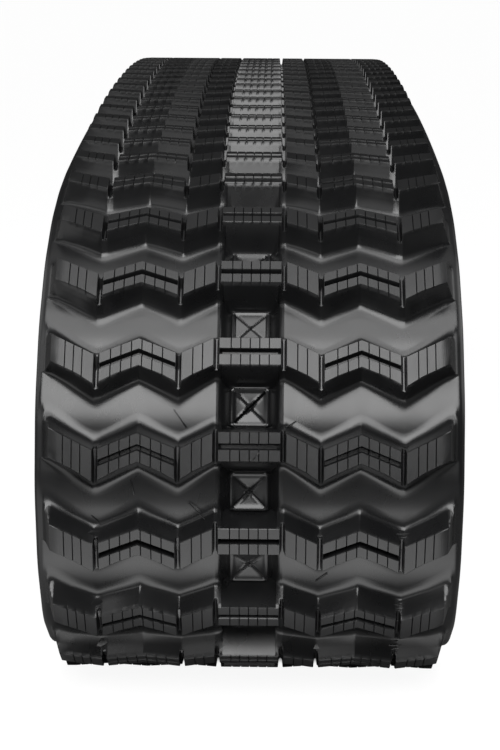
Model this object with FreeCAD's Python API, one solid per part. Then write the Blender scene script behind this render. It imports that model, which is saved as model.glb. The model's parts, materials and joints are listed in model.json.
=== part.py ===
"""Endless rubber track for a compact track loader, standing free as an oval loop.

Row frame: +X across the belt, Y along the loop with the front bend at -Y, +Z up.
The origin is on the ground, midway across the belt and midway between the two bends.

Link frame: +X across the belt, +Y along the loop, +Z outward from the cord line.
A link is one pitch of belt, centred on its steel core. Link 0 lies just in front of
the middle of the bottom run, and the count goes forward, up the front bend, back
along the top run, down the rear bend and forward again to the start.
"""
import FreeCAD, Part
import math
import os

Vector = FreeCAD.Vector

# Track size: width, pitch and number of links
BELT_WIDTH = 450.0
PITCH = 86.0
LINKS = 56

# Resting shape: how far each link leans from level, in degrees, from the nose of a bend outward.
# The whole loop leans a little forward. The two open leans are set so that it closes.
FRONT_TOP_LEANS = (78.5, 57.0, 38.5, 23.5, 13.0, 7.0, 4.0)
FRONT_BOTTOM_LEANS = (78.5, 57.0, 33.0, 11.0, 2.0)
REAR_TOP_LEANS = (78.5, 53.0, None, 16.0, 7.0, 4.5, 4.0)
REAR_BOTTOM_LEANS = (78.5, 60.0, None, 22.0, 9.0, 2.0)
TOP_ARCH_LINKS = 7
HALF_RUN_LINKS = 14
FLEXING_LINKS = 8
FLEX_GAP = 1.25

# Belt section: heights from the cord line, outward positive
LUG_TOP = 39.0
FLOOR = 11.0
INNER_FACE = -14.0
RAIL_FACE = -22.0
RAIL_INNER_X = 54.0
RAIL_OUTER_X = 106.0
RAIL_SLOPE = 4.0
EDGE_X = 216.0
EDGE_DROP = 7.0
EDGE_FOOT_X = 219.0
EDGE_FOOT_RISE = 6.0

# Centre strip, with a thin rubber skin over each sprocket window
STRIP_HALF = 28.5
STRIP_FLOOR = 3.0
WINDOW_HALF_X = 20.5
WINDOW_HALF_Y = 20.0
SKIN_INNER = -1.0
SKIN_OUTER = 3.4
PAD_TOP = 7.0
PAD_RIM = 4.5

# Tread bar: a zigzag across the belt, (distance from centre, shift along the loop)
ZIGZAG = ((36.0, 0.0), (73.0, -18.0), (114.0, -1.5), (157.0, -18.0), (201.0, 2.0))
BAR_HIGH_EDGE = 19.5
BAR_LOW_EDGE = -10.5
BAR_ROOT = 8.0
BAR_WALL_SLOPE = 0.5
CENTRE_HALF = 32.4
CENTRE_LOW_RUN = 10.0
CENTRE_HIGH_RUN = 2.0

# Slots along the loop that part the bar into lugs, and the groove that parts two ribs
SLOT_X = (34.5, 73.0, 157.0)
SLOT_TOP_HALF = 3.6
SLOT_FLOOR_HALF = 2.2
SLOT_DEPTH = 11.0
GROOVE_TOP_HALF = 3.3
GROOVE_FLOOR_HALF = 1.5
GROOVE_DEPTH = 8.0
GROOVE_SPANS = ((0.0, 32.4), (76.0, 154.0))

# Steel core: wings in the rubber, a bridge between two windows, two guide horns
WING_HALF_X = 152.0
WING_HALF_Y = 15.0
WING_INNER = -11.5
WING_OUTER = -3.5
BRIDGE_HALF_X = 50.0
BRIDGE_HALF_Y = 18.0
BRIDGE_INNER = -15.5
BRIDGE_OUTER = -2.8
HORN_X = (26.0, 47.0)
HORN_HALF_Y = 20.0
HORN_TIP_X = (30.0, 42.0)
HORN_TIP_HALF_Y = 9.0
HORN_TIP = -58.0

# Steel cord ribbons on the cord line, one each side, and the bond line round the steel
RIBBON_X = (56.0, 182.0)
RIBBON_HALF_THICK = 2.0
BOND_GAP = 0.02

# Extra reach of tools and blanks past the material they cut or are cut from
BLANK_HALF = 60.0
TOOL = 600.0


def box(x0, x1, y0, y1, z0, z1):
    return Part.makeBox(x1 - x0, y1 - y0, z1 - z0, Vector(x0, y0, z0))


def polygon_face(points):
    return Part.Face(Part.makePolygon(points + [points[0]]))


def solid_between(lower, upper):
    """A solid with two parallel polygon ends that have matching corners."""
    count = len(lower)
    faces = [polygon_face(lower), polygon_face(upper)]
    for i in range(count):
        j = (i + 1) % count
        faces.append(polygon_face([lower[i], lower[j], upper[j], upper[i]]))
    solid = Part.Solid(Part.Shell(faces))
    if solid.Volume < 0:
        solid.reverse()
    return solid


def frustum(low, high):
    """A tapered block. Each end is (x0, x1, y0, y1, z)."""
    ends = []
    for x0, x1, y0, y1, z in (low, high):
        ends.append([Vector(x0, y0, z), Vector(x1, y0, z), Vector(x1, y1, z), Vector(x0, y1, z)])
    return solid_between(*ends)


def offset_outline(points, distance):
    """The anticlockwise (x, y) outline moved outward by a distance, with mitred corners."""
    count = len(points)
    moved = []
    for i in range(count):
        ax, ay = points[i - 1]
        bx, by = points[i]
        cx, cy = points[(i + 1) % count]
        before = math.atan2(by - ay, bx - ax) - math.pi / 2
        after = math.atan2(cy - by, cx - bx) - math.pi / 2
        middle = (before + after) / 2
        half = (after - before) / 2
        if math.cos(half) < 0:
            middle += math.pi
        reach = distance / abs(math.cos(half))
        moved.append((bx + reach * math.cos(middle), by + reach * math.sin(middle)))
    return moved


def tapered(outline, z_top, z_base, slope):
    """A block with the outline at its top, spreading by the slope down to its base."""
    base = offset_outline(outline, slope * abs(z_top - z_base))
    lower = [Vector(x, y, z_base) for x, y in base]
    upper = [Vector(x, y, z_top) for x, y in outline]
    return solid_between(lower, upper)


def both_sides(shape):
    return [shape, shape.mirror(Vector(0, 0, 0), Vector(1, 0, 0))]


# ---- One link of belt, in the link frame


def zigzag_points():
    """Corners of the tread bar's middle line from the left edge to the right edge."""
    right = [(x, shift) for x, shift in ZIGZAG]
    left = [(-x, shift) for x, shift in reversed(ZIGZAG)]
    return left + right


def belt_section():
    half = BELT_WIDTH / 2
    return [
        (STRIP_HALF, STRIP_FLOOR),
        (STRIP_HALF, FLOOR),
        (EDGE_X, FLOOR),
        (half, FLOOR - EDGE_DROP),
        (half, INNER_FACE + EDGE_FOOT_RISE),
        (EDGE_FOOT_X, INNER_FACE),
        (RAIL_OUTER_X + RAIL_SLOPE, INNER_FACE),
        (RAIL_OUTER_X, RAIL_FACE),
        (RAIL_INNER_X, RAIL_FACE),
        (RAIL_INNER_X - RAIL_SLOPE, INNER_FACE),
    ]


def belt_blank():
    right = belt_section()
    outline = right + [(-x, z) for x, z in reversed(right)]
    section = polygon_face([Vector(x, -BLANK_HALF, z) for x, z in outline])
    return section.extrude(Vector(0, 2 * BLANK_HALF, 0))


def tread_bar():
    """The zigzag bar, cut away over the centre strip where the centre block stands."""
    line = zigzag_points()
    low = [(x, BAR_LOW_EDGE + shift) for x, shift in line]
    high = [(x, BAR_HIGH_EDGE + shift) for x, shift in reversed(line)]
    bar = tapered(low + high, LUG_TOP, BAR_ROOT, BAR_WALL_SLOPE)
    strip = box(-STRIP_HALF, STRIP_HALF, -TOOL, TOOL, 0, LUG_TOP + 1)
    return bar.cut(strip)


def centre_block():
    base = (
        -CENTRE_HALF,
        CENTRE_HALF,
        BAR_LOW_EDGE - CENTRE_LOW_RUN,
        BAR_HIGH_EDGE + CENTRE_HIGH_RUN,
        STRIP_FLOOR - 1,
    )
    top = (-CENTRE_HALF, CENTRE_HALF, BAR_LOW_EDGE, BAR_HIGH_EDGE, LUG_TOP)
    return frustum(base, top)


def groove_along(x0, x1):
    """The zigzag groove between two ribs, from x0 to x1 on the right-hand side."""
    middle = (BAR_HIGH_EDGE + BAR_LOW_EDGE) / 2
    corners = [(x, shift) for x, shift in ((0.0, 0.0),) + ZIGZAG]
    inside = [x for x, _ in corners if x0 < x < x1]
    stops = [x0] + inside + [x1]
    rows = []
    for z, half in ((LUG_TOP - GROOVE_DEPTH, GROOVE_FLOOR_HALF), (LUG_TOP + 1, GROOVE_TOP_HALF)):
        low = [Vector(x, middle + shift_at(x, corners) - half, z) for x in stops]
        high = [Vector(x, middle + shift_at(x, corners) + half, z) for x in reversed(stops)]
        rows.append(low + high)
    return solid_between(*rows)


def shift_at(x, corners):
    for (ax, ay), (bx, by) in zip(corners, corners[1:]):
        if ax <= x <= bx:
            return ay + (by - ay) * (x - ax) / (bx - ax)
    raise ValueError("x lies outside the zigzag")


def slot_tool(x):
    floor = (x - SLOT_FLOOR_HALF, x + SLOT_FLOOR_HALF, -TOOL, TOOL, LUG_TOP - SLOT_DEPTH)
    mouth = (x - SLOT_TOP_HALF, x + SLOT_TOP_HALF, -TOOL, TOOL, LUG_TOP + 1)
    return frustum(floor, mouth)


def tread_tools():
    tools = []
    for x in SLOT_X:
        tools += both_sides(slot_tool(x))
    for x0, x1 in GROOVE_SPANS:
        tools += both_sides(groove_along(x0, x1))
    return tools


def window_parts(side):
    """The raised pad, its hollow and the sprocket window at one end of a link."""
    near = PITCH / 2 - WINDOW_HALF_Y
    lo, hi = sorted((side * near, side * BLANK_HALF))
    pad = box(-WINDOW_HALF_X, WINDOW_HALF_X, lo, hi, SKIN_OUTER - 1, PAD_TOP)
    inner = near + PAD_RIM
    hollow_lo, hollow_hi = sorted((side * inner, side * TOOL))
    hollow_x = WINDOW_HALF_X - PAD_RIM
    hollow = box(-hollow_x, hollow_x, hollow_lo, hollow_hi, SKIN_OUTER, TOOL)
    window_lo, window_hi = sorted((side * near, side * TOOL))
    window = box(-WINDOW_HALF_X, WINDOW_HALF_X, window_lo, window_hi, -TOOL, SKIN_INNER)
    return pad, hollow, window


def core(grow=0.0):
    """The forged steel core. A small growth gives the room it takes in the rubber."""
    wings = box(-WING_HALF_X - grow, WING_HALF_X + grow, -WING_HALF_Y - grow, WING_HALF_Y + grow,
                WING_INNER - grow, WING_OUTER + grow)
    bridge = box(-BRIDGE_HALF_X - grow, BRIDGE_HALF_X + grow, -BRIDGE_HALF_Y - grow,
                 BRIDGE_HALF_Y + grow, BRIDGE_INNER - grow, BRIDGE_OUTER + grow)
    x0, x1 = HORN_X
    tip_x0, tip_x1 = HORN_TIP_X
    root = (x0 - grow, x1 + grow, -HORN_HALF_Y - grow, HORN_HALF_Y + grow, WING_OUTER - 1)
    tip = (tip_x0 - grow, tip_x1 + grow, -HORN_TIP_HALF_Y - grow, HORN_TIP_HALF_Y + grow, HORN_TIP)
    return wings.fuse([bridge] + both_sides(frustum(root, tip))).removeSplitter()


def rubber_blank():
    """Rubber of one link, longer than a pitch, before its ends are cut to the webs."""
    shape = belt_blank().fuse([tread_bar(), centre_block()])
    tools = tread_tools()
    pads = []
    for side in (-1, 1):
        pad, hollow, window = window_parts(side)
        pads.append(pad)
        tools += [hollow, window]
    shape = shape.fuse(pads)
    x0, x1 = RIBBON_X
    half = RIBBON_HALF_THICK + BOND_GAP
    ribbon_room = box(x0 - BOND_GAP, x1 + BOND_GAP, -TOOL, TOOL, -half, half)
    return shape.cut(tools + both_sides(ribbon_room) + [core(BOND_GAP)])


def beyond_web(side, half_turn, gap):
    """All that lies past one end of a link, where the web turns by twice half_turn."""
    blank = Part.makeBox(TOOL, TOOL, TOOL, Vector(-TOOL / 2, 0, -TOOL / 2))
    angle = -half_turn if side > 0 else 180.0 + half_turn
    reach = PITCH / 2 - gap / math.cos(math.radians(half_turn))
    blank.rotate(Vector(0, 0, 0), Vector(1, 0, 0), angle)
    blank.translate(Vector(0, side * reach, 0))
    return blank


# ---- The resting loop


def top_half(leans):
    """Leans of half the top run, from the nose to the crest of its shallow arch."""
    steps = range(1, TOP_ARCH_LINKS + 1)
    return list(leans) + [leans[-1] * (1 - step / TOP_ARCH_LINKS) for step in steps]


def bottom_half(leans):
    """Leans of half the bottom run, from the nose to where it lies flat."""
    return list(leans) + [0.0] * (HALF_RUN_LINKS - len(leans))


def reach(leans):
    """How far a row of links goes along the ground and up, in pitches."""
    known = [math.radians(lean) for lean in leans if lean is not None]
    return sum(math.cos(lean) for lean in known), sum(math.sin(lean) for lean in known)


def rear_halves(front_top, front_bottom):
    """Leans of the rear half, with its two open leans set so that the loop closes."""
    top = top_half(REAR_TOP_LEANS)
    bottom = bottom_half(REAR_BOTTOM_LEANS)
    spans = [reach(leans) for leans in (front_bottom, front_top, top, bottom)]
    along = spans[0][0] - spans[1][0] - spans[2][0] + spans[3][0]
    up = spans[0][1] + spans[1][1] - spans[2][1] - spans[3][1]
    split = math.degrees(math.atan2(along, up))
    middle = math.degrees(math.asin(math.hypot(along, up) / 2))
    top[REAR_TOP_LEANS.index(None)] = middle - split
    bottom[REAR_BOTTOM_LEANS.index(None)] = middle + split
    return top, bottom


def link_angles():
    """Direction of each link: 0 is forward along the ground, 90 up, 180 back along the top."""
    front_top = top_half(FRONT_TOP_LEANS)
    front_bottom = bottom_half(FRONT_BOTTOM_LEANS)
    rear_top, rear_bottom = rear_halves(front_top, front_bottom)
    front = front_bottom[::-1] + [180.0 - lean for lean in front_top]
    rear = [180.0 + lean for lean in reversed(rear_top)] + [360.0 - lean for lean in rear_bottom]
    return front + rear


def web_points(angles):
    """The point on the cord line at the start of each link, in the row frame."""
    points = [Vector(0, 0, LUG_TOP)]
    for angle in angles[:-1]:
        turn = math.radians(angle)
        points.append(points[-1] + Vector(0, -math.cos(turn), math.sin(turn)) * PITCH)
    front_nose = points[HALF_RUN_LINKS]
    rear_nose = points[LINKS - HALF_RUN_LINKS]
    middle = Vector(0, (front_nose.y + rear_nose.y) / 2, 0)
    return [point - middle for point in points]


def placed(shape, index, angles, points):
    """A link-frame shape put at its link of the loop."""
    turn = math.radians(angles[index])
    middle = points[index] + Vector(0, -math.cos(turn), math.sin(turn)) * (PITCH / 2)
    copy = shape.copy()
    copy.Placement = FreeCAD.Placement(middle, FreeCAD.Rotation(Vector(1, 0, 0), 180.0 - angles[index]))
    return copy


def half_turns(index, angles):
    """Half the turn at the start and at the end of a link."""
    start = (angles[index] - angles[index - 1]) % 360.0 / 2
    end = (angles[(index + 1) % LINKS] - angles[index]) % 360.0 / 2
    return start, end


def trimmed(blank, index, angles, open_start, open_end):
    """A link-frame blank cut to its two webs, with a flexing gap at each open end."""
    start, end = half_turns(index, angles)
    tools = [
        beyond_web(-1, start, FLEX_GAP if open_start else 0.0),
        beyond_web(1, end, FLEX_GAP if open_end else 0.0),
    ]
    return blank.cut(tools)


def ribbon_blank():
    x0, x1 = RIBBON_X
    half = RIBBON_HALF_THICK
    return box(x0, x1, -BLANK_HALF, BLANK_HALF, -half, half)


def segment(blank, links, angles, points):
    """A stretch of belt made of consecutive links, open to flex at its two ends."""
    pieces = []
    for index in links:
        piece = trimmed(blank, index, angles, index == links[0], index == links[-1])
        pieces.append(placed(piece, index, angles, points))
    if len(pieces) == 1:
        return pieces[0]
    return pieces[0].fuse(pieces[1:]).removeSplitter()


def body_links():
    """The links of each moving body, in order round the loop."""
    half_flat = HALF_RUN_LINKS - FLEXING_LINKS // 2
    half_loop = LINKS // 2
    bodies = {"bottom_run": list(range(LINKS - half_flat, LINKS)) + list(range(half_flat))}
    for number in range(1, FLEXING_LINKS + 1):
        bodies["front_link_%d" % number] = [half_flat + number - 1]
        bodies["rear_link_%d" % number] = [LINKS - half_flat - number]
    bodies["top_run_front"] = list(range(half_loop - half_flat, half_loop))
    bodies["top_run_rear"] = list(range(half_loop, half_loop + half_flat))
    return bodies


def write(name, solids):
    shape = Part.makeCompound(solids) if len(solids) > 1 else solids[0]
    shape.exportStep("parts/%s.step" % name)


def main():
    os.makedirs("parts", exist_ok=True)
    angles = link_angles()
    points = web_points(angles)
    rubber = rubber_blank()
    ribbon = ribbon_blank()
    steel = core()
    for body, links in body_links().items():
        write(body + "_rubber", segment(rubber, links, angles, points).Solids)
        write(body + "_core", [placed(steel, index, angles, points) for index in links])
        cord = segment(ribbon, links, angles, points)
        write(body + "_cords", both_sides(cord))


main()
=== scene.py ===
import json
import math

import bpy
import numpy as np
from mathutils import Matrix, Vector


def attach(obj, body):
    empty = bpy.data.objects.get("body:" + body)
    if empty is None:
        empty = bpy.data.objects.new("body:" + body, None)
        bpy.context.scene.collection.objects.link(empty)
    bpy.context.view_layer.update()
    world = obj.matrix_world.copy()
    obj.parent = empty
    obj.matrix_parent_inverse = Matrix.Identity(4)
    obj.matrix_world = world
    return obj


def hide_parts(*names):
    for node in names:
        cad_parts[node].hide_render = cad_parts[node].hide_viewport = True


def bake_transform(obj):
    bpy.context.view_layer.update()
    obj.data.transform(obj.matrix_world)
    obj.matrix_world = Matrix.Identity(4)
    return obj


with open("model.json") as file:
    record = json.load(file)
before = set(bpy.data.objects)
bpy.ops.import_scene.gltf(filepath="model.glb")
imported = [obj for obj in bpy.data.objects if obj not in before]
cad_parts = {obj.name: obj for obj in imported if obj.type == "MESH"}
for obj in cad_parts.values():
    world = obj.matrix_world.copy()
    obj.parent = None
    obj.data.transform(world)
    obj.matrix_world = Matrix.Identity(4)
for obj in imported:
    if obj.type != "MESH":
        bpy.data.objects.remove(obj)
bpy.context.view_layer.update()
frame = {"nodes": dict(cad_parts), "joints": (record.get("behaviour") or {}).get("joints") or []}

# Visual model of an endless rubber track, standing free as an oval loop.
#
# Lengths are millimetres in the link frame: x across the belt, u along the loop, v outward
# from the cord line. A link is one pitch of belt, centred on its steel core, and link 0 lies
# just in front of the middle of the bottom run. The count goes forward, up the front bend
# and back along the top. Points are turned to metres in the row frame when they are placed.

MM = 0.001

# ---- Track size and resting shape, the same as the CAD part

PITCH = 86.0
LINKS = 56
LUG_TOP = 39.0
FLOOR = 11.0
INNER_FACE = -14.0
RAIL_FACE = -22.0
FRONT_TOP_LEANS = (78.5, 57.0, 38.5, 23.5, 13.0, 7.0, 4.0)
FRONT_BOTTOM_LEANS = (78.5, 57.0, 33.0, 11.0, 2.0)
REAR_TOP_LEANS = (78.5, 53.0, None, 16.0, 7.0, 4.5, 4.0)
REAR_BOTTOM_LEANS = (78.5, 60.0, None, 22.0, 9.0, 2.0)
TOP_ARCH_LINKS = 7
HALF_RUN_LINKS = 14
FLEXING_LINKS = 8
WEB_HALF = 22.0

# Nearer than this, two places on the belt are the same one. A straight web is given the least
# bend, in radians, so that its arc has a radius. Webs must be this near to the frame's joints.
SAME_PLACE = 0.01
LEAST_BEND = 1e-7
JOINT_TOLERANCE = 0.05

# ---- Tread bar: a zigzag, its two edges and its groove along the loop, how far its walls reach
# across the belt (at RUN_X), and a wall as (share of its reach, height)

ZIGZAG = ((36.0, 0.0), (73.0, -18.0), (114.0, -1.5), (153.5, -17.5), (160.5, -19.0), (204.0, 2.7))
HIGH_EDGE = 19.5
LOW_EDGE = -10.5
GROOVE_MIDDLE = 4.5
GROOVE_FLOOR = 31.0
GROOVE_HALF = 3.0
GROOVE_SPANS = ((0.0, 31.2), (76.3, 153.7))
RUN_X = (28.5, 36.0, 73.0, 114.0, 157.0, 180.0, 204.0, 208.0, 213.0, 222.0)
HIGH_RUN = (13.0, 15.0, 14.5, 20.5, 15.5, 19.0, 24.0, 26.0, 30.0, 33.0)
LOW_RUN = (13.0, 13.5, 20.5, 17.0, 20.5, 17.0, 10.0, 6.5, 3.0, 2.5)
WALL = (
    (0.07, 33.2), (0.143, 28.3), (0.168, 27.0), (0.314, 16.4), (0.42, 14.0),
    (0.53, 12.6), (0.66, 11.7), (0.82, 11.2), (1.0, 11.0),
)
TOE_ROUNDING = 7.0

# Ribs, from the groove to the bar's edge: (distance from the groove's middle, height)
RIB_HIGH = (
    (0.0, GROOVE_FLOOR), (1.6, GROOVE_FLOOR), (2.9, 38.2), (3.5, LUG_TOP), (14.4, LUG_TOP), (15.0, 38.3),
)
RIB_LOW = ((-15.0, 38.3), (-14.4, LUG_TOP), (-3.5, LUG_TOP), (-2.9, 38.2), (-1.6, GROOVE_FLOOR))

# Slots along the loop, at places across the belt: (distance from a slot's middle, height)
SLOTS = (34.5, 73.0, 157.0)
SLOT_SHAPE = ((0.0, 28.0), (0.8, 28.2), (1.7, 30.0), (2.6, 38.3), (3.2, LUG_TOP), (4.1, LUG_TOP))

# Fine sipes along the loop, and more columns of the grid between them
SIPES = (48.6, 58.5, 89.5, 100.1, 110.7, 121.4, 132.0, 142.6, 171.7, 180.5, 189.4)
SIPE_HALF = 0.6
SIPE_DEPTH = 1.3
MID_BLOCKS = (
    43.5, 53.5, 63.5, 83.0, 94.8, 105.4, 112.7, 114.0, 115.3, 118.0, 126.7, 137.3,
    147.5, 166.0, 176.1, 185.0, 194.5,
)
END_COLUMNS = (205.9, 207.8)

# The bar's end wall: (distance, share of the bar's height). The belt's rounded edge: (distance,
# height). The sag of the floor beside the centre strip: (distance, sag).
END_WALL = ((203.2, 1.0), (204.0, 0.975), (209.6, 0.30), (211.2, 0.14), (212.8, 0.04), (214.5, 0.0))
EDGE = ((214.5, 11.0), (216.5, 10.6), (218.3, 9.4), (220.0, 7.5), (221.0, 5.4), (221.3, 3.6))
END_SOFTNESS = 0.04
FLOOR_EDGE = ((28.6, 4.4), (29.4, 3.2), (30.6, 1.9), (32.3, 0.8), (35.0, 0.0))

# ---- Centre strip: moat, pads over the sprocket windows, and their creased skins

# Either edge of the moat beside a pad: (distance, its shift towards the pad, height)
MOAT_LIP = (28.4, 1.4, 4.2)
MOAT_BOTTOM = (27.8, 4.3, 0.2)

# Columns of a centre block, and which of them are sipes. A pad's grid is made of rings: how far
# each reaches, how round its corners are, and the height of the outer ones.
BLOCK_COLUMNS = (0.0, 0.6, 3.4, 6.3, 9.1, 9.7, 10.3, 13.2, 16.0, 18.9, 19.5, 20.1, 22.0, 24.5, 27.2)
BLOCK_SIPES = (0, 5, 10)
PAD_BLEND_ROWS = 6
RING_REACH = (0.0, 1.6, 3.1, 4.7, 6.2, 7.8, 9.3, 10.9, 12.4, 13.9, 15.3, 16.6, 18.0, 19.4, 20.3)
RING_CORNER = (0.1, 0.2, 0.3, 0.4, 0.5, 0.6, 0.8, 1.0, 1.2, 1.4, 1.8, 2.6, 3.4, 4.3, 5.0)
RIM_HEIGHT = ((15.3, 5.3), (16.6, 6.4), (18.0, 6.9), (19.4, 6.2), (20.3, 3.1))
SKIN_RIM = 5.3

# A crease along a diagonal: its half width, and the place of the lips beside it, in half widths
CREASE_HALF = 1.6
CREASE_LIP = 1.6

# A creased skin: sink of its middle and how sharply, crease depth, slit depth, height of lips
SKINS = {
    "flat": (0.5, 1.4, 0.8, 0.0, 0.3),
    "slit": (3.6, 0.9, 1.0, 2.6, 1.6),
    "pinched": (6.0, 0.8, 0.6, 0.0, 1.4),
}

# The skins seen best in the photo have their own kind, and the others take turns
PINCHED_LINKS = (13, 12, 11)
SLIT_LINKS = (14,)
OTHER_SKINS = ("flat", "slit", "pinched", "flat", "flat")

# The walls of a centre block, either side of a window: (place along the loop, height)
WINDOW_MIDDLE = 43.0
HIGH_BLOCK_WALL = (
    (19.9, 33.2), (20.2, 28.3), (20.3, 27.0), (21.0, 14.0), (21.3, 9.5),
    (21.5, 6.4), (21.8, 4.6), (22.1, 3.5), (22.4, 3.1),
)
LOW_BLOCK_WALL = (
    (63.8, 3.1), (64.5, 3.5), (65.3, 4.6), (66.1, 6.4), (67.2, 9.5),
    (68.6, 14.0), (72.3, 27.0), (72.7, 28.3), (74.1, 33.2),
)

# ---- Inner side: window pockets, roller rails and the foot of the belt edge, as (distance, height)

INNER = (
    (0.0, INNER_FACE), (20.4, INNER_FACE), (20.7, INNER_FACE), (49.0, INNER_FACE), (50.6, -14.6),
    (53.4, -21.4), (54.8, RAIL_FACE), (105.2, RAIL_FACE), (106.6, -21.4), (109.4, -14.6),
    (111.0, INNER_FACE), (165.0, INNER_FACE), (213.0, INNER_FACE), (216.5, -13.8), (219.4, -12.4),
    (221.0, -10.2), (221.3, -7.6),
)
WINDOW_HALF_X = 20.5
POCKET_CEILING = -2.4
RAIL_DIP = 1.0
RAIL_DIP_HALF = 12.0
RAIL_FLANK = -20.0

# ---- Moulding vents: hair-thin whiskers, as (link, start, end), that bow out and end in a bead
# from a share of their length on. One that starts beyond the low wall belongs to the pitch before.

WHISKERS = (
    (14, (-78.0, 39.7, 13.5), (-64.7, 22.3, 11.6)),
    (14, (47.6, 29.2, 12.6), (37.6, 23.7, 17.0)),
    (14, (-121.6, -31.0, 13.2), (-118.0, -45.4, 11.4)),
    (13, (-62.0, 34.2, 13.0), (-45.5, 20.0, 18.6)),
    (13, (-162.2, 18.8, 11.6), (-147.7, 4.9, 13.6)),
    (14, (3.7, -8.6, 39.3), (9.7, -1.4, 39.3)),
    (12, (70.0, 30.0, 11.6), (82.0, 40.0, 12.4)),
    (17, (-128.0, 40.0, 11.6), (-119.0, 33.0, 12.6)),
    (46, (60.0, 30.0, 11.6), (74.0, 43.0, 12.6)),
    (41, (-140.0, 30.0, 11.6), (-129.0, 44.0, 12.8)),
)
WHISKER_RADIUS = 0.55
WHISKER_SIDES = 6
WHISKER_STEPS = 6
WHISKER_BOW = 0.6
WHISKER_BEAD = (0.8, 1.35)
LOW_WALL_REACH = 20.0

# ---- Pieces: their longest length in pitches. The loop is opened past the middle of the top
# run, with half a hairline left on each side.

LONGEST_PIECE = 5
OPEN_LINK = LINKS // 2
SEAM = 0.12

# ---- Meshes: how far a face may be twisted before its diagonal is turned, and the least angle in
# degrees of a sharp mould edge

TWIST = 0.02
SHARP_ANGLE = 32.0

# ---- Materials. A noise is: its stretch, scale and detail. A bump is: its strength and its depth
# in metres. The zone over which a wall turns into a lug top is in metres from the cord line.

RUBBER_COLOUR = (0.005, 0.0051, 0.0054)
RUBBER_ROUGHNESS = (0.26, 0.32)
RUBBER_MOTTLE = ((1.0, 0.5, 1.0), 28.0, 4.0)
TOP_DULLER = 0.10
TOP_ZONE = (0.0368, 0.0376)
TOP_STREAKS = ((1.0, 0.08, 0.3), 900.0, 4.0)
TOP_BUMP = (0.25, 0.0004)
FORGED_COLOUR = (0.09, 0.085, 0.08)
FORGED_METALLIC = 0.75
FORGED_ROUGHNESS = (0.42, 0.7)
FORGED_SCALE = ((1.0, 1.0, 1.0), 90.0, 6.0)
FORGED_BUMP = (0.4, 0.0006)
FORGED_EDGE = 0.0022
FORGED_EDGE_STEPS = 3
FORGED_EDGE_ANGLE = 25.0
WELD_GAP = 0.00001
CORD_COLOUR = (0.45, 0.38, 0.24)
CORD_ROUGHNESS = 0.35
CORD_RIDGES = 90.0
CORD_BUMP = (1.0, 0.001)

# ---- Camera, in metres and degrees

CAMERA_PLACE = (0.022, -3.2805, 0.868)
CAMERA_DOWN = 12.37
CAMERA_LEFT = 0.57
CAMERA_ROLL = 0.37
CAMERA_LENS = 106.4
CAMERA_FAR = 60.0
SENSOR = 36.0

# ---- Studio. A soft box is: its lower front edge and upper rear edge as (y, z) in metres, its
# width in metres, and its brightness in watts per square metre and steradian.

KEY_BOX = ((-2.9, 0.95), (-2.0, 2.2), 1.5, 7.4)
TOP_BOX = ((-1.9, 2.3), (-0.9, 2.6), 1.5, 4.2)

# A glow of the room is: its start, end and blur in degrees over an arc from the front horizon
# to the rear one, its left edge, right edge and blur across, and its brightness.

ROOM = 0.03
ROOM_GLOWS = (
    (76.0, 86.0, 12.0, 0.50, 1.2, 0.2, 2.2),
    (52.0, 78.0, 12.0, -1.1, -0.42, 0.15, 1.7),
    (6.0, 30.0, 8.0, -1.1, -0.50, 0.15, 1.4),
    (85.0, 165.0, 20.0, 0.50, 1.2, 0.3, 1.3),
    (85.0, 165.0, 20.0, -1.2, -0.50, 0.3, 0.9),
    (80.0, 110.0, 30.0, -0.8, 0.8, 0.3, 0.5),
)

# The floor. A pool of light on it is: its middle and half width in x, its front and back edge
# in y, its blur, and its brightness. Only reflections show the pools, and only the camera sees
# the floor's white glow and the shadow painted under the track.

FLOOR_HALF = 45.0
FLOOR_ROUGHNESS = 0.9
FLOOR_COLOUR = (0.18, 0.18, 0.18)
FLOOR_GLOW = 0.92
POOLS = (
    (0.0, 0.2, -1.42, -1.20, 0.14, 2.6),
    (-0.85, 0.4, -1.75, -1.2, 0.3, 0.8),
)
SHADOW_HALF_X = 0.215
SHADOW_HALF_Y = 0.87
SHADOW_BLUR = 0.03


# ==== The resting loop


def top_half(leans):
    """Leans of half the top run, from the nose to the crest of its shallow arch."""
    steps = range(1, TOP_ARCH_LINKS + 1)
    return list(leans) + [leans[-1] * (1 - step / TOP_ARCH_LINKS) for step in steps]


def bottom_half(leans):
    """Leans of half the bottom run, which lies flat beyond the nose."""
    return list(leans) + [0.0] * (HALF_RUN_LINKS - len(leans))


def reach(leans):
    """How far a row of links goes along the ground and up, in pitches."""
    known = np.radians([lean for lean in leans if lean is not None])
    return np.array((np.cos(known).sum(), np.sin(known).sum()))


def link_leans():
    """Leans of the four half runs. The rear's two open leans are set so that the loop closes."""
    front_top, front_bottom = top_half(FRONT_TOP_LEANS), bottom_half(FRONT_BOTTOM_LEANS)
    top, bottom = top_half(REAR_TOP_LEANS), bottom_half(REAR_BOTTOM_LEANS)
    along = (reach(front_bottom) - reach(front_top) - reach(top) + reach(bottom))[0]
    up = (reach(front_bottom) + reach(front_top) - reach(top) - reach(bottom))[1]
    split = math.degrees(math.atan2(along, up))
    middle = math.degrees(math.asin(math.hypot(along, up) / 2))
    top[REAR_TOP_LEANS.index(None)] = middle - split
    bottom[REAR_BOTTOM_LEANS.index(None)] = middle + split
    return front_top, front_bottom, top, bottom


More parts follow.
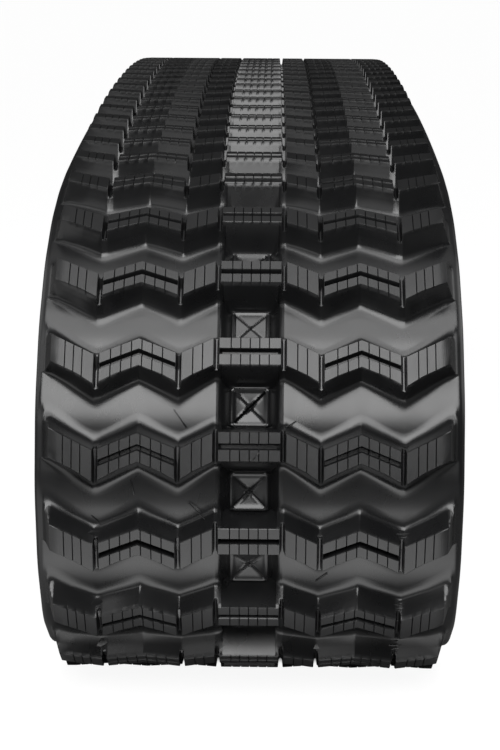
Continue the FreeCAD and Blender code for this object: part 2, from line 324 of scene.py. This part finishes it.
def loop_shape():
    """Direction of each link in radians, half the turn at its start and end, and web points."""
    front_top, front_bottom, rear_top, rear_bottom = link_leans()
    angles = front_bottom[::-1] + [180.0 - lean for lean in front_top]
    angles += [180.0 + lean for lean in reversed(rear_top)] + [360.0 - lean for lean in rear_bottom]
    angles = np.radians(angles)
    turns = (angles - np.roll(angles, 1)) % (2 * math.pi)
    turns = np.where(turns > math.pi, 0.0, turns)
    points = np.zeros((LINKS, 2))
    points[0] = (0.0, LUG_TOP)
    for i in range(1, LINKS):
        before = angles[i - 1]
        points[i] = points[i - 1] + PITCH * np.array((-math.cos(before), math.sin(before)))
    points[:, 0] -= (points[HALF_RUN_LINKS, 0] + points[LINKS - HALF_RUN_LINKS, 0]) / 2
    return angles, turns / 2, np.roll(turns, -1) / 2, points


ANGLES, HALF_START, HALF_END, WEBS = loop_shape()


def placed(link, x, u, v):
    """Row-frame points, in metres, of link-frame points. Rubber near a web bends as an arc."""
    x, u, v = np.broadcast_arrays(np.asarray(x, float), np.asarray(u, float), np.asarray(v, float))
    along = link * PITCH + PITCH / 2 + u
    index = np.floor(along / PITCH).astype(int)
    local = along - index * PITCH - PITCH / 2
    index = index % LINKS
    side = np.where(local > 0, 1.0, -1.0)
    half = np.maximum(np.where(local > 0, HALF_END[index], HALF_START[index]), LEAST_BEND)
    rigid = PITCH / 2 - WEB_HALF
    bent = np.maximum(np.abs(local) - rigid, 0.0)
    angle = half * bent / WEB_HALF
    radius = WEB_HALF / np.tan(half)
    onward = side * (np.minimum(np.abs(local), rigid) + radius * np.sin(angle))
    outward = v * np.cos(angle) - radius * (1 - np.cos(angle))
    onward = onward + side * v * np.sin(angle) + PITCH / 2
    cos, sin = np.cos(ANGLES[index]), np.sin(ANGLES[index])
    y = WEBS[index, 0] - cos * onward - sin * outward
    z = WEBS[index, 1] + sin * onward - cos * outward
    return np.stack((x, y, z), -1) * MM


# ==== The belt's surface over one pitch, from one groove to the next


def zigzag(x, rounding=0.0):
    """Shift of the tread bar along the loop, with its corners rounded off."""
    corners = np.array(ZIGZAG)
    slopes = np.diff(corners[:, 1]) / np.diff(corners[:, 0])
    changes = np.diff(np.concatenate(((0.0,), slopes, (0.0,))))
    shift = np.interp(x, corners[:, 0], corners[:, 1])
    for (corner, _), change in zip(ZIGZAG, changes):
        away = np.abs(x - corner)
        shift = shift + 0.5 * change * (np.sqrt(away ** 2 + rounding ** 2) - away)
    return shift


def side_columns():
    """Distances from the centre of the tread's grid columns, outside the centre strip."""
    columns = [x for x, _ in FLOOR_EDGE] + list(MID_BLOCKS)
    for x in SLOTS:
        columns += [x + side * step for step, _ in SLOT_SHAPE for side in (-1, 1) if step or side > 0]
    for x in SIPES:
        columns += [x - SIPE_HALF, x, x + SIPE_HALF]
    columns += [x for x, _ in END_WALL] + list(END_COLUMNS) + [x for x, _ in EDGE[1:]]
    return np.array(sorted(set(round(x, 3) for x in columns)))


def lug_heights(x, height, on_lug):
    """Tread height across the belt for one row whose bar height is given."""
    slot = np.full_like(x, np.inf)
    for middle in SLOTS:
        away, depth = zip(*SLOT_SHAPE)
        near = np.abs(x - middle) <= away[-1] + SAME_PLACE
        slot = np.where(near, np.interp(np.abs(x - middle), away, depth), slot)
    end = np.interp(x, *zip(*END_WALL))
    share = (height - FLOOR) / (LUG_TOP - FLOOR)
    lower = 0.5 * (share + end - np.sqrt((share - end) ** 2 + END_SOFTNESS ** 2))
    lower = np.where(x < END_WALL[0][0] - SAME_PLACE, share, np.maximum(lower, 0.0))
    sag = np.interp(x, *zip(*FLOOR_EDGE)) * (1 - lower)
    top = np.interp(x, *zip(*EDGE)) - sag + (LUG_TOP - FLOOR) * lower
    top = np.minimum(top, slot)
    cut = np.zeros_like(x)
    for middle in SIPES:
        cut[np.abs(x - middle) < SAME_PLACE] = SIPE_DEPTH * on_lug
    return top - cut


def in_groove(x):
    """Which columns have the bar's middle groove."""
    inside = np.zeros(x.shape, bool)
    for start, end in GROOVE_SPANS:
        inside |= (x >= start) & (x <= end)
    return inside


def rib_row(x, grooved, u, height):
    """A row (u, v) of the bar's top. Its groove is cut only where the belt is grooved."""
    in_middle = abs((u + PITCH / 2) % PITCH - PITCH / 2) < GROOVE_HALF
    level = np.where(grooved, height, LUG_TOP) if in_middle else np.full_like(x, height)
    return GROOVE_MIDDLE + u + zigzag(x), lug_heights(x, level, 1.0)


def side_rows(x):
    """Rows (u, v) over one pitch beside the centre strip."""
    high, low = np.interp(x, RUN_X, HIGH_RUN), np.interp(x, RUN_X, LOW_RUN)
    grooved = in_groove(x)
    rows = [rib_row(x, grooved, step, height) for step, height in RIB_HIGH]
    for share, height in WALL:
        shift = zigzag(x, TOE_ROUNDING * share ** 2)
        rows.append((HIGH_EDGE + share * high + shift, lug_heights(x, np.full_like(x, height), 0.0)))
    toe = rows[-1][0]
    next_toe = PITCH + LOW_EDGE - low + zigzag(x, TOE_ROUNDING)
    count = 2 * len(RING_REACH) - 1
    for step in range(1, count + 1):
        share = step / (count + 1)
        rows.append((toe + (next_toe - toe) * share, lug_heights(x, np.full_like(x, FLOOR), 0.0)))
    for share, height in reversed(WALL):
        shift = PITCH + zigzag(x, TOE_ROUNDING * share ** 2)
        rows.append((LOW_EDGE - share * low + shift, lug_heights(x, np.full_like(x, height), 0.0)))
    for step, height in RIB_LOW + ((0.0, GROOVE_FLOOR),):
        rows.append(rib_row(x, grooved, PITCH + step, height))
    return rows


def rounded_square(i, j):
    """A point of the pad, ring by ring, from its grid place. The corners are rounded off."""
    ring = max(abs(i), abs(j))
    straight = RING_REACH[ring] - RING_CORNER[ring]
    x, w = (math.copysign(RING_REACH[abs(n)], n) for n in (i, j))
    past_x, past_w = (max(abs(n) - straight, 0.0) for n in (x, w))
    if min(past_x, past_w) > 0:
        scale = max(past_x, past_w) / math.hypot(past_x, past_w)
        x = math.copysign(straight + past_x * scale, x)
        w = math.copysign(straight + past_w * scale, w)
    return x, w


def skin_height(x, w, kind):
    """Height of a pad: its rim, and a window skin creased along both diagonals."""
    out = max(abs(x), abs(w))
    if out >= RIM_HEIGHT[0][0]:
        return float(np.interp(out, *zip(*RIM_HEIGHT)))
    dish, power, crease, slit, lips = SKINS[kind]
    share = out / RIM_HEIGHT[0][0]
    near, far = abs(x - w) / CREASE_HALF, abs(x + w) / CREASE_HALF
    on_near, on_far = max(0.0, 1 - near), max(0.0, 1 - far)
    near_lip, far_lip = max(0.0, 1 - abs(near - CREASE_LIP)), max(0.0, 1 - abs(far - CREASE_LIP))
    height = SKIN_RIM - dish * (1 - share) ** power - crease * (on_near + on_far) - slit * on_near
    return height + lips * (near_lip + 0.5 * far_lip) * (1 - share)


def wall_row(block_x, pad_x, to_pad, u, height):
    """A row (x, u, v) of a centre block's wall, whose columns turn from the block's to the pad's."""
    x = block_x * (1 - to_pad) + pad_x * to_pad
    return x, np.full_like(x, u), np.full_like(x, height)


def strip_rows(kind):
    """Rows (x, u, v) over one pitch of the centre strip."""
    span = len(RING_REACH) - 1
    places = range(-span, span + 1)
    block_x = np.array([math.copysign(BLOCK_COLUMNS[abs(i)], i) for i in places])
    sipe = np.array([SIPE_DEPTH if abs(i) in BLOCK_SIPES else 0.0 for i in places])
    first_x, last_x = (np.array([rounded_square(i, j)[0] for i in places]) for j in (-span, span))
    rows = []
    for step, height in RIB_HIGH:
        cut = sipe * (height > GROOVE_FLOOR)
        rows.append((block_x, np.full_like(block_x, GROOVE_MIDDLE + step), height - cut))
    for n, (u, height) in enumerate(HIGH_BLOCK_WALL):
        to_pad = max(0.0, (n + 1 + PAD_BLEND_ROWS - len(HIGH_BLOCK_WALL)) / PAD_BLEND_ROWS)
        rows.append(wall_row(block_x, first_x, to_pad, u, height))
    for j in places:
        spots = [rounded_square(i, j) for i in places]
        rows.append((np.array([x for x, _ in spots]), WINDOW_MIDDLE + np.array([w for _, w in spots]),
                     np.array([skin_height(x, w, kind) for x, w in spots])))
    for n, (u, height) in enumerate(LOW_BLOCK_WALL):
        to_pad = max(0.0, (PAD_BLEND_ROWS - n) / PAD_BLEND_ROWS)
        rows.append(wall_row(block_x, last_x, to_pad, u, height))
    for step, height in RIB_LOW + ((0.0, GROOVE_FLOOR),):
        cut = sipe * (height > GROOVE_FLOOR)
        rows.append((block_x, np.full_like(block_x, PITCH + GROOVE_MIDDLE + step), height - cut))
    return rows


def outer_grid(kind):
    """Arrays x, u, v of the tread over one pitch, from the left edge to the right edge."""
    columns = side_columns()
    grid = []
    for (su, sv), (cx, cu, cv) in zip(side_rows(columns), strip_rows(kind)):
        pad = (BLOCK_COLUMNS[-1] - cx[-1]) / (BLOCK_COLUMNS[-1] - RING_REACH[-1])
        moat_x, moat_v = [], []
        for place, shift, depth in (MOAT_LIP, MOAT_BOTTOM):
            moat_x.append(place - shift * pad)
            moat_v.append(cv[0] * (1 - pad) + depth * pad)
        x = np.concatenate((-columns[::-1], np.negative(moat_x), cx, moat_x[::-1], columns))
        u = np.concatenate((su[::-1], (cu[0], cu[0]), cu, (cu[0], cu[0]), su))
        v = np.concatenate((sv[::-1], moat_v, cv, moat_v[::-1], sv))
        grid.append((x, u, v))
    return [np.array(part) for part in zip(*grid)]


def inner_grid():
    """Arrays x, u, v of the inner side over one pitch, from the right edge to the left edge."""
    rows = strip_rows("flat")
    half_x, half_v = (np.array(part) for part in zip(*INNER))
    x = np.concatenate((half_x[::-1], -half_x[1:]))
    base = np.concatenate((half_v[::-1], half_v[1:]))
    us, vs = [], []
    for row in rows:
        u = row[1][len(row[1]) // 2]
        v = base.copy()
        if abs(u - WINDOW_MIDDLE) <= RING_REACH[-1] + SAME_PLACE:
            v[np.abs(x) < WINDOW_HALF_X] = POCKET_CEILING
        dip = RAIL_DIP * max(0.0, 1 - abs(u - WINDOW_MIDDLE) / RAIL_DIP_HALF)
        v[v < RAIL_FLANK] += dip
        us.append(np.full_like(x, u))
        vs.append(v)
    return np.array([x] * len(rows)), np.array(us), np.array(vs)


# ==== Meshes


def ring_faces(rows, columns, heights):
    """Faces of a closed tube of rows x columns points. Creases along a diagonal stay crisp."""
    grid = np.arange(rows * columns).reshape(rows, columns)
    right = np.roll(grid, -1, axis=1)
    a, b, c, d = (part.ravel() for part in (grid[:-1], right[:-1], right[1:], grid[1:]))
    turned = (heights[a] + heights[c] > heights[b] + heights[d] + TWIST)[:, None]
    one = np.where(turned, np.stack((a, b, d), -1), np.stack((a, b, c), -1))
    two = np.where(turned, np.stack((b, c, d), -1), np.stack((a, c, d), -1))
    ends = [grid[0][::-1].tolist(), grid[-1].tolist()]
    return np.concatenate((one, two)).tolist() + ends


def skin_kind(link):
    """Which way the window skin past a link is creased."""
    if link in PINCHED_LINKS:
        return "pinched"
    if link in SLIT_LINKS:
        return "slit"
    return OTHER_SKINS[link % len(OTHER_SKINS)]


def belt_piece(name, first, pitches):
    """Rubber from the groove of one link to the groove some pitches on."""
    inner = inner_grid()
    spots, marks = [], []
    for step in range(pitches):
        outer = outer_grid(skin_kind((first + step) % LINKS))
        x, u, v = (np.concatenate(pair, axis=1) for pair in zip(outer, inner))
        keep = slice(0, None if step == pitches - 1 else -1)
        x, u, v = x[keep], u[keep] + step * PITCH, v[keep]
        if first + step == OPEN_LINK:
            u[0] += SEAM
        if first + step + 1 == OPEN_LINK:
            u[-1] -= SEAM
        spots.append(placed(first, x, u, v))
        marks.append(np.stack((x, (first + 0.5) * PITCH + u, v), -1))
    spots, marks = np.concatenate(spots), np.concatenate(marks)
    rows, columns = spots.shape[:2]
    points, belt = spots.reshape(-1, 3), marks.reshape(-1, 3)
    faces = ring_faces(rows, columns, belt[:, 2])
    for link, start, end in WHISKERS:
        past_groove = link if start[1] > GROOVE_MIDDLE - LOW_WALL_REACH else link - 1
        if (past_groove - first) % LINKS < pitches:
            points, belt, faces = with_whisker(points, belt, faces, link, start, end)
    return new_mesh(name, points, faces, belt)


def with_whisker(points, belt, faces, link, start, end):
    """The mesh arrays with one more vent whisker: a thin bowed hair of rubber."""
    first = len(points)
    start, end = np.array(start), np.array(end)
    across = np.cross((end - start) / np.linalg.norm(end - start), (0.0, 0.0, 1.0))
    rings = []
    for step in range(WHISKER_STEPS + 1):
        share = step / WHISKER_STEPS
        bow = np.array((0.0, 0.0, WHISKER_BOW)) * math.sin(math.pi * share)
        middle = start + (end - start) * share + bow
        radius = WHISKER_RADIUS * (1.0 if share < WHISKER_BEAD[0] else WHISKER_BEAD[1])
        for side in range(WHISKER_SIDES):
            turn = 2 * math.pi * side / WHISKER_SIDES
            rings.append(middle + radius * (across * math.cos(turn) + np.array((0, 0, math.sin(turn)))))
    rings = np.array(rings)
    count = WHISKER_SIDES
    for step in range(WHISKER_STEPS):
        for side in range(count):
            a, b = first + step * count + side, first + step * count + (side + 1) % count
            faces.append([a, b, b + count, a + count])
    faces.append([first + side for side in reversed(range(count))])
    faces.append([first + WHISKER_STEPS * count + side for side in range(count)])
    placed_rings = placed(link, rings[:, 0], rings[:, 1], rings[:, 2])
    marks = rings + np.array((0.0, (link + 0.5) * PITCH, 0.0))
    return np.concatenate((points, placed_rings)), np.concatenate((belt, marks)), faces


def new_mesh(name, points, faces, belt):
    """A smooth-shaded object with sharp mould edges. Its belt attribute holds x, u and v."""
    mesh = bpy.data.meshes.new(name)
    sizes = np.array([len(face) for face in faces])
    mesh.vertices.add(len(points))
    mesh.vertices.foreach_set("co", points.astype(np.float32).ravel())
    mesh.loops.add(int(sizes.sum()))
    mesh.loops.foreach_set("vertex_index", np.concatenate([np.array(face) for face in faces]))
    mesh.polygons.add(len(faces))
    mesh.polygons.foreach_set("loop_start", np.concatenate(((0,), np.cumsum(sizes)[:-1])))
    mesh.update(calc_edges=True)
    mesh.validate()
    marks = mesh.attributes.new("belt", "FLOAT_VECTOR", "POINT")
    marks.data.foreach_set("vector", (belt * MM).astype(np.float32).ravel())
    mesh.polygons.foreach_set("use_smooth", np.ones(len(mesh.polygons), bool))
    mesh.set_sharp_from_angle(angle=math.radians(SHARP_ANGLE))
    made = bpy.data.objects.new(name, mesh)
    bpy.context.scene.collection.objects.link(made)
    return made


# ==== Materials


def principled(name, colour, roughness=0.5, metallic=0.0):
    """A new node material and its nodes, links and main shader."""
    material = bpy.data.materials.new(name)
    material.use_nodes = True
    nodes, links = material.node_tree.nodes, material.node_tree.links
    shader = nodes["Principled BSDF"]
    shader.inputs["Base Color"].default_value = (*colour, 1.0)
    shader.inputs["Roughness"].default_value = roughness
    shader.inputs["Metallic"].default_value = metallic
    return material, nodes, links, shader


def math_node(nodes, links, operation, first, second):
    """The output of an operation on two numbers or node outputs."""
    node = nodes.new("ShaderNodeMath")
    node.operation = operation
    for slot, value in zip(node.inputs, (first, second)):
        if isinstance(value, (int, float)):
            slot.default_value = value
        else:
            links.new(value, slot)
    return node.outputs[0]


def ramp(nodes, links, source, low, high, out_low, out_high):
    """A value turned smoothly from one range into another."""
    node = nodes.new("ShaderNodeMapRange")
    node.interpolation_type = "SMOOTHSTEP"
    for slot, value in zip(("From Min", "From Max", "To Min", "To Max"), (low, high, out_low, out_high)):
        node.inputs[slot].default_value = value
    links.new(source, node.inputs["Value"])
    return node.outputs["Result"]


def stretched_noise(nodes, links, source, stretch, scale, detail):
    """Noise over the belt, stretched along some of its directions."""
    mapping = nodes.new("ShaderNodeMapping")
    mapping.inputs["Scale"].default_value = stretch
    links.new(source, mapping.inputs["Vector"])
    noise = nodes.new("ShaderNodeTexNoise")
    noise.inputs["Scale"].default_value = scale
    noise.inputs["Detail"].default_value = detail
    links.new(mapping.outputs["Vector"], noise.inputs["Vector"])
    return noise.outputs["Fac"]


def add_bump(nodes, links, shader, height, strength, depth):
    """Relief on a shader, from a height of 0 to 1."""
    bump = nodes.new("ShaderNodeBump")
    bump.inputs["Strength"].default_value = strength
    bump.inputs["Distance"].default_value = depth
    links.new(height, bump.inputs["Height"])
    links.new(bump.outputs["Normal"], shader.inputs["Normal"])


def rubber_material():
    """Black moulded rubber: semi-gloss walls and floors, duller lug tops with fine streaks."""
    material, nodes, links, shader = principled("moulded_rubber", RUBBER_COLOUR)
    belt = nodes.new("ShaderNodeAttribute")
    belt.attribute_name = "belt"
    parts = nodes.new("ShaderNodeSeparateXYZ")
    links.new(belt.outputs["Vector"], parts.inputs[0])
    on_top = ramp(nodes, links, parts.outputs["Z"], *TOP_ZONE, 0.0, 1.0)
    streaks = stretched_noise(nodes, links, belt.outputs["Vector"], *TOP_STREAKS)
    mottle = stretched_noise(nodes, links, belt.outputs["Vector"], *RUBBER_MOTTLE)
    gloss = ramp(nodes, links, mottle, 0.3, 0.7, *RUBBER_ROUGHNESS)
    extra = math_node(nodes, links, "MULTIPLY", on_top, TOP_DULLER)
    links.new(math_node(nodes, links, "ADD", gloss, extra), shader.inputs["Roughness"])
    height = math_node(nodes, links, "MULTIPLY", streaks, on_top)
    add_bump(nodes, links, shader, height, *TOP_BUMP)
    return material


def forged_material():
    """Dark forged steel with mill scale."""
    material, nodes, links, shader = principled("forged_scale", FORGED_COLOUR, metallic=FORGED_METALLIC)
    place = nodes.new("ShaderNodeTexCoord")
    scale = stretched_noise(nodes, links, place.outputs["Object"], *FORGED_SCALE)
    links.new(ramp(nodes, links, scale, 0.35, 0.7, *FORGED_ROUGHNESS), shader.inputs["Roughness"])
    add_bump(nodes, links, shader, scale, *FORGED_BUMP)
    return material


def cord_material():
    """Brass-coated steel cables lying side by side."""
    material, nodes, links, shader = principled("brassed_cord", CORD_COLOUR, CORD_ROUGHNESS, 1.0)
    place = nodes.new("ShaderNodeTexCoord")
    wave = nodes.new("ShaderNodeTexWave")
    wave.bands_direction = "X"
    wave.inputs["Scale"].default_value = CORD_RIDGES
    links.new(place.outputs["Object"], wave.inputs["Vector"])
    add_bump(nodes, links, shader, wave.outputs["Fac"], *CORD_BUMP)
    return material


def floor_pool(nodes, links, parts, pool):
    """Brightness of one pool of light on the floor, with blurred edges."""
    middle, half, front, back, blur, glow = pool
    offset = math_node(nodes, links, "SUBTRACT", parts.outputs["X"], middle)
    aside = math_node(nodes, links, "ABSOLUTE", offset, 0.0)
    lit = ramp(nodes, links, aside, half, half + blur, glow, 0.0)
    for edge, past in ((front, -blur), (back, blur)):
        ends = ramp(nodes, links, parts.outputs["Y"], edge, edge + past, 1.0, 0.0)
        lit = math_node(nodes, links, "MULTIPLY", lit, ends)
    return lit


def floor_seen(nodes, links, parts):
    """Brightness that the camera sees: nearly white, and dark under the track."""
    shadow = FLOOR_GLOW
    for axis, half in (("X", SHADOW_HALF_X), ("Y", SHADOW_HALF_Y)):
        away = math_node(nodes, links, "ABSOLUTE", parts.outputs[axis], 0.0)
        inside = ramp(nodes, links, away, half - SHADOW_BLUR, half, 1.0, 0.0)
        shadow = math_node(nodes, links, "MULTIPLY", inside, shadow)
    return math_node(nodes, links, "SUBTRACT", FLOOR_GLOW, shadow)


def floor_material():
    """Matt floor, shown pale to the camera, with the pools of light that reflections show."""
    material, nodes, links, shader = principled("studio_floor", FLOOR_COLOUR, FLOOR_ROUGHNESS)
    shader.inputs["Specular IOR Level"].default_value = 0.0
    shader.inputs["Emission Color"].default_value = (1.0, 1.0, 1.0, 1.0)
    place, parts = nodes.new("ShaderNodeNewGeometry"), nodes.new("ShaderNodeSeparateXYZ")
    links.new(place.outputs["Position"], parts.inputs[0])
    first, second = (floor_pool(nodes, links, parts, pool) for pool in POOLS)
    path, mix = nodes.new("ShaderNodeLightPath"), nodes.new("ShaderNodeMix")
    mix.data_type = "FLOAT"
    links.new(path.outputs["Is Camera Ray"], mix.inputs["Factor"])
    links.new(math_node(nodes, links, "ADD", first, second), mix.inputs["A"])
    links.new(floor_seen(nodes, links, parts), mix.inputs["B"])
    links.new(mix.outputs["Result"], shader.inputs["Emission Strength"])
    return material


# ==== The rubber, piece by piece


def web_ends(link):
    """Cord-line points, in the row frame, where the web after a link starts and stops bending."""
    start = placed(link, 0.0, PITCH / 2 - WEB_HALF, 0.0)
    end = placed(link, 0.0, PITCH / 2 + WEB_HALF, 0.0)
    return tuple(start), tuple(end)


def bend_rubber(end, first, material):
    """The nine webs of one bend, each shaped in its resting curve and lying between the two bodies its
    hinge joins.
    """
    links = ["%s_link_%d" % (end, n) for n in range(1, FLEXING_LINKS + 1)]
    bodies = ["bottom_run"] + links + ["top_run_" + end]
    for n in range(len(bodies) - 1):
        near, far = bodies[n], bodies[n + 1]
        link = first + n if end == "front" else first - n
        name = "%s_web_%d_rubber" % (end, n + 1)
        piece = belt_piece(name, link, 1)
        start, stop = web_ends(link)
        if end == "rear":
            start, stop = stop, start
        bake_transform(piece)
        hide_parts(far + "_rubber")
        dress(piece, material)


def run_rubber(body, first, pitches, material):
    """A long run of belt in a few pieces, none of them bending."""
    for number, done in enumerate(range(0, pitches, LONGEST_PIECE), 1):
        name = "%s_rubber_part_%d" % (body, number)
        piece = belt_piece(name, (first + done) % LINKS, min(LONGEST_PIECE, pitches - done))
        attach(piece, body)
        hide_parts(body + "_rubber")
        dress(piece, material)


def dress(piece, material):
    """Rubber look."""
    piece.data.materials.clear()
    piece.data.materials.append(material)


def build_rubber():
    """The whole belt: two bends of flexing webs, and three long runs between them."""
    material = rubber_material()
    flat = HALF_RUN_LINKS - FLEXING_LINKS // 2
    half = LINKS // 2
    run_rubber("bottom_run", LINKS - flat, 2 * flat - 1, material)
    bend_rubber("front", flat - 1, material)
    run_rubber("top_run_front", half - flat, flat, material)
    run_rubber("top_run_rear", half, flat - 1, material)
    bend_rubber("rear", LINKS - flat - 1, material)


def dress_steel():
    """The forged cores and cord ribbons keep their CAD shape, with worn forging edges."""
    forged, cord = forged_material(), cord_material()
    for name, node in frame["nodes"].items():
        if name.endswith("_core"):
            paint(node, forged)
            weld = node.modifiers.new("weld", "WELD")
            weld.merge_threshold = WELD_GAP
            soften = node.modifiers.new("forged_edges", "BEVEL")
            soften.width = FORGED_EDGE
            soften.segments = FORGED_EDGE_STEPS
            soften.limit_method = "ANGLE"
            soften.angle_limit = math.radians(FORGED_EDGE_ANGLE)
        if name.endswith("_cords"):
            paint(node, cord)


def paint(node, material):
    """A new look for a CAD node, whose shape stays."""
    node.data.materials.clear()
    node.data.materials.append(material)


# ==== Studio


def make_floor():
    """The studio floor, one flat square."""
    mesh = bpy.data.meshes.new("studio_floor")
    low, high = -FLOOR_HALF, FLOOR_HALF
    corners = [(low, low, 0), (high, low, 0), (high, high, 0), (low, high, 0)]
    mesh.from_pydata(corners, [], [(0, 1, 2, 3)])
    floor = bpy.data.objects.new("studio_floor", mesh)
    bpy.context.scene.collection.objects.link(floor)
    mesh.materials.append(floor_material())


def make_soft_box(name, lower, upper, width, brightness):
    """A rectangular soft box that slopes up from its lower edge and shines to the rear and down."""
    low, high = Vector((0.0, *lower)), Vector((0.0, *upper))
    slope = high - low
    data = bpy.data.lights.new(name, "AREA")
    data.shape = "RECTANGLE"
    data.size, data.size_y = width, slope.length
    data.energy = brightness * math.pi * width * slope.length
    light = bpy.data.objects.new(name, data)
    light.location = (low + high) / 2
    light.rotation_mode = "QUATERNION"
    light.rotation_quaternion = Vector((0.0, slope.z, -slope.y)).to_track_quat("-Z", "Y")
    light.visible_camera = False
    bpy.context.scene.collection.objects.link(light)


def room_glow(nodes, links, arc, across, glow):
    """Brightness of one glowing patch of the room's walls, with blurred edges."""
    arc_low, arc_high, arc_blur, left, right, side_blur, strength = glow
    rise = ramp(nodes, links, arc, math.radians(arc_low), math.radians(arc_low + arc_blur), 0.0, strength)
    fall = ramp(nodes, links, arc, math.radians(arc_high), math.radians(arc_high + arc_blur), 1.0, 0.0)
    enter = ramp(nodes, links, across, left, left + side_blur, 0.0, 1.0)
    leave = ramp(nodes, links, across, right - side_blur, right, 1.0, 0.0)
    band = math_node(nodes, links, "MULTIPLY", rise, fall)
    sides = math_node(nodes, links, "MULTIPLY", enter, leave)
    return math_node(nodes, links, "MULTIPLY", band, sides)


def make_world():
    """A dim room with some glowing patches. The camera sees a white background instead."""
    world = bpy.data.worlds.new("studio_world")
    bpy.context.scene.world = world
    world.use_nodes = True
    nodes, links = world.node_tree.nodes, world.node_tree.links
    place, parts = nodes.new("ShaderNodeTexCoord"), nodes.new("ShaderNodeSeparateXYZ")
    links.new(place.outputs["Generated"], parts.inputs[0])
    toward = math_node(nodes, links, "MULTIPLY", parts.outputs["Y"], -1.0)
    arc = math_node(nodes, links, "ARCTAN2", parts.outputs["Z"], toward)
    total = ROOM
    for glow in ROOM_GLOWS:
        lit = room_glow(nodes, links, arc, parts.outputs["X"], glow)
        total = math_node(nodes, links, "ADD", lit, total)
    seen, room = nodes["Background"], nodes.new("ShaderNodeBackground")
    seen.inputs["Color"].default_value = (1.0, 1.0, 1.0, 1.0)
    room.inputs["Color"].default_value = (1.0, 1.0, 1.0, 1.0)
    links.new(total, room.inputs["Strength"])
    path, mix = nodes.new("ShaderNodeLightPath"), nodes.new("ShaderNodeMixShader")
    links.new(path.outputs["Is Camera Ray"], mix.inputs["Fac"])
    links.new(room.outputs[0], mix.inputs[1])
    links.new(seen.outputs[0], mix.inputs[2])
    links.new(mix.outputs[0], nodes["World Output"].inputs["Surface"])


def make_camera():
    """The camera, at the place and angle that fit the photo."""
    data = bpy.data.cameras.new("camera")
    data.sensor_fit = "VERTICAL"
    data.sensor_height = SENSOR
    data.sensor_width = SENSOR
    data.lens = CAMERA_LENS
    data.clip_end = CAMERA_FAR
    down, left, roll = (math.radians(a) for a in (CAMERA_DOWN, CAMERA_LEFT, CAMERA_ROLL))
    forward = Vector((-math.sin(left) * math.cos(down), math.cos(left) * math.cos(down), -math.sin(down)))
    level = Vector((math.cos(left), math.sin(left), 0.0))
    up = level.cross(forward)
    right = level * math.cos(roll) + up * math.sin(roll)
    up = right.cross(forward)
    turn = Matrix((right, up, -forward)).transposed()
    camera = bpy.data.objects.new("camera", data)
    camera.location = CAMERA_PLACE
    camera.rotation_mode = "QUATERNION"
    camera.rotation_quaternion = turn.to_quaternion()
    bpy.context.scene.collection.objects.link(camera)
    bpy.context.scene.camera = camera


def build_studio():
    """Floor, room, camera and two soft boxes."""
    make_floor()
    make_world()
    make_camera()
    make_soft_box("key_box", *KEY_BOX)
    make_soft_box("top_box", *TOP_BOX)
    bpy.context.scene.view_settings.view_transform = "Standard"


# ==== Everything together


def check_loop():
    """The loop worked out here must put each web at its joint in the frame."""
    for joint in frame["joints"]:
        y, z = (value / MM for value in joint["pos_m"][1:])
        gap = np.min(np.hypot(WEBS[:, 0] - y, WEBS[:, 1] - z))
        if gap > JOINT_TOLERANCE:
            raise ValueError("the loop and the joint %s differ by %.2f mm" % (joint["name"], gap))


check_loop()
build_rubber()
dress_steel()
build_studio()
